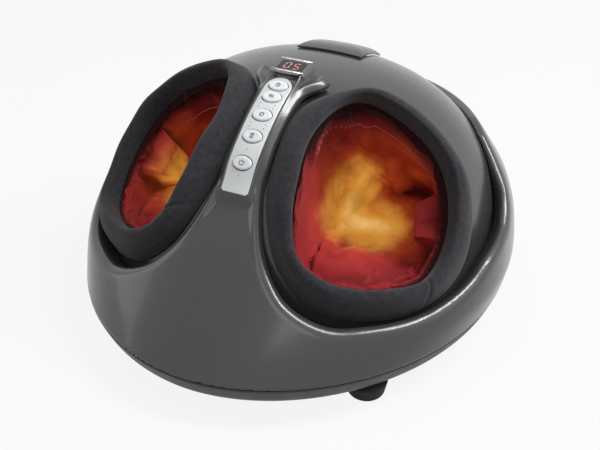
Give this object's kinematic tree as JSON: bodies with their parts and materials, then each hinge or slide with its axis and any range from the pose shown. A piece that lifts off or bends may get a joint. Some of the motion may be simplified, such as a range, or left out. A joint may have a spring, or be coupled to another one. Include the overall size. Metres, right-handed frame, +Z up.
{
  "type": "foot massager",
  "caption": "Domed foot massager with padded round foot openings, lined pockets, geared kneading discs, a button panel and display on the front ridge, and a rear grip.",
  "frame": {"origin": "on the floor, under the middle of the body's bounding box", "axes": "+Z up, -Y towards the front ridge with the buttons, +X to the right as seen from the front"},
  "size_m": [0.3726, 0.4046, 0.2122],
  "materials": {
    "shell_grey": "satin",
    "base_black": "satin",
    "panel_grey": "satin",
    "board_green": "satin",
    "button_white": "gloss",
    "bezel_silver": "satin metallic paint",
    "window_black": "gloss",
    "module_grey": "matt",
    "cuff_fabric": "knitted",
    "liner_fabric": "woven",
    "tub_black": "matt",
    "bag_grey": "matt",
    "nylon": "matt",
    "steel": "plain",
    "foot_rubber": "matt"
  },
  "bodies": {
    "housing": {"base_tray": "base_black", "dome_shell": "shell_grey", "front_shell": "shell_grey", "control_panel": "panel_grey", "control_board": "board_green", "display_bezel": "bezel_silver", "display_window": "window_black", "display_module": "module_grey", "handle_cup": "tub_black", "carry_handle": "shell_grey", "centre_axle": "steel", "drive_motor": "steel", "motor_bracket": "steel", "air_pump": "tub_black", "air_valve": "nylon", "main_board": "board_green", "power_inlet": "tub_black", "cuff_right": "cuff_fabric", "liner_right": "liner_fabric", "foot_well_right": "tub_black", "airbag_upper_right": "bag_grey", "airbag_outer_right": "bag_grey", "heater_pad_right": "liner_fabric", "air_hose_right": "bag_grey", "disc_axle_front_right": "steel", "rubber_foot_front_right": "foot_rubber", "base_screw_front_right": "steel", "disc_axle_rear_right": "steel", "rubber_foot_rear_right": "foot_rubber", "base_screw_rear_right": "steel", "cuff_left": "cuff_fabric", "liner_left": "liner_fabric", "foot_well_left": "tub_black", "airbag_upper_left": "bag_grey", "airbag_outer_left": "bag_grey", "heater_pad_left": "liner_fabric", "air_hose_left": "bag_grey", "disc_axle_front_left": "steel", "rubber_foot_front_left": "foot_rubber", "base_screw_front_left": "steel", "disc_axle_rear_left": "steel", "rubber_foot_rear_left": "foot_rubber", "base_screw_rear_left": "steel"},
    "centre_gear": {"centre_gear": "nylon"},
    "worm": {"worm_shaft": "steel"},
    "disc_front_right": {"disc_gear_front_right": "nylon", "kneading_disc_front_right": "nylon"},
    "disc_front_left": {"disc_gear_front_left": "nylon", "kneading_disc_front_left": "nylon"},
    "disc_rear_right": {"disc_gear_rear_right": "nylon", "kneading_disc_rear_right": "nylon"},
    "disc_rear_left": {"disc_gear_rear_left": "nylon", "kneading_disc_rear_left": "nylon"},
    "button_1": {"button_1": "button_white"},
    "button_2": {"button_2": "button_white"},
    "button_3": {"button_3": "button_white"},
    "button_4": {"button_4": "button_white"},
    "button_5": {"button_5": "button_white"}
  },
  "joints": [
    {"name": "centre_gear_spin", "type": "hinge", "parent": "housing", "child": "centre_gear", "pos_m": [0, -0.03027, 0.022], "axis": [0, 0, 1], "continuous": true},
    {"name": "worm_spin", "type": "hinge", "parent": "housing", "child": "worm", "pos_m": [0.02475, -0.03027, 0.034], "axis": [0, 1, 0], "continuous": true},
    {"name": "disc_front_right_spin", "type": "hinge", "parent": "housing", "child": "disc_front_right", "pos_m": [0.0897, -0.03027, 0.03], "axis": [0, 0, 1], "continuous": true},
    {"name": "disc_front_left_spin", "type": "hinge", "parent": "housing", "child": "disc_front_left", "pos_m": [-0.0897, -0.03027, 0.03], "axis": [0, 0, 1], "continuous": true},
    {"name": "disc_rear_right_spin", "type": "hinge", "parent": "housing", "child": "disc_rear_right", "pos_m": [0.0897, 0.04773, 0.03], "axis": [0, 0, 1], "continuous": true},
    {"name": "disc_rear_left_spin", "type": "hinge", "parent": "housing", "child": "disc_rear_left", "pos_m": [-0.0897, 0.04773, 0.03], "axis": [0, 0, 1], "continuous": true},
    {"name": "button_1_press", "type": "slide", "parent": "housing", "child": "button_1", "axis": [0, 0.357, -0.9341], "range_m": [0, 0.001], "stiffness_N_per_m": 300, "springref_m": -0.001},
    {"name": "button_2_press", "type": "slide", "parent": "housing", "child": "button_2", "axis": [0, 0.4106, -0.9118], "range_m": [0, 0.001], "stiffness_N_per_m": 300, "springref_m": -0.001},
    {"name": "button_3_press", "type": "slide", "parent": "housing", "child": "button_3", "axis": [0, 0.5002, -0.8659], "range_m": [0, 0.001], "stiffness_N_per_m": 300, "springref_m": -0.001},
    {"name": "button_4_press", "type": "slide", "parent": "housing", "child": "button_4", "axis": [0, 0.5929, -0.8053], "range_m": [0, 0.001], "stiffness_N_per_m": 300, "springref_m": -0.001},
    {"name": "button_5_press", "type": "slide", "parent": "housing", "child": "button_5", "axis": [0, 0.7373, -0.6756], "range_m": [0, 0.001], "stiffness_N_per_m": 300, "springref_m": -0.001}
  ],
  "couplings": [
    {"joint": "worm_spin", "follows": "centre_gear_spin", "ratio": -25},
    {"joint": "disc_front_right_spin", "follows": "centre_gear_spin", "ratio": -1.3},
    {"joint": "disc_front_left_spin", "follows": "centre_gear_spin", "ratio": -1.3},
    {"joint": "disc_rear_right_spin", "follows": "centre_gear_spin", "ratio": 1.3},
    {"joint": "disc_rear_left_spin", "follows": "centre_gear_spin", "ratio": 1.3}
  ]
}
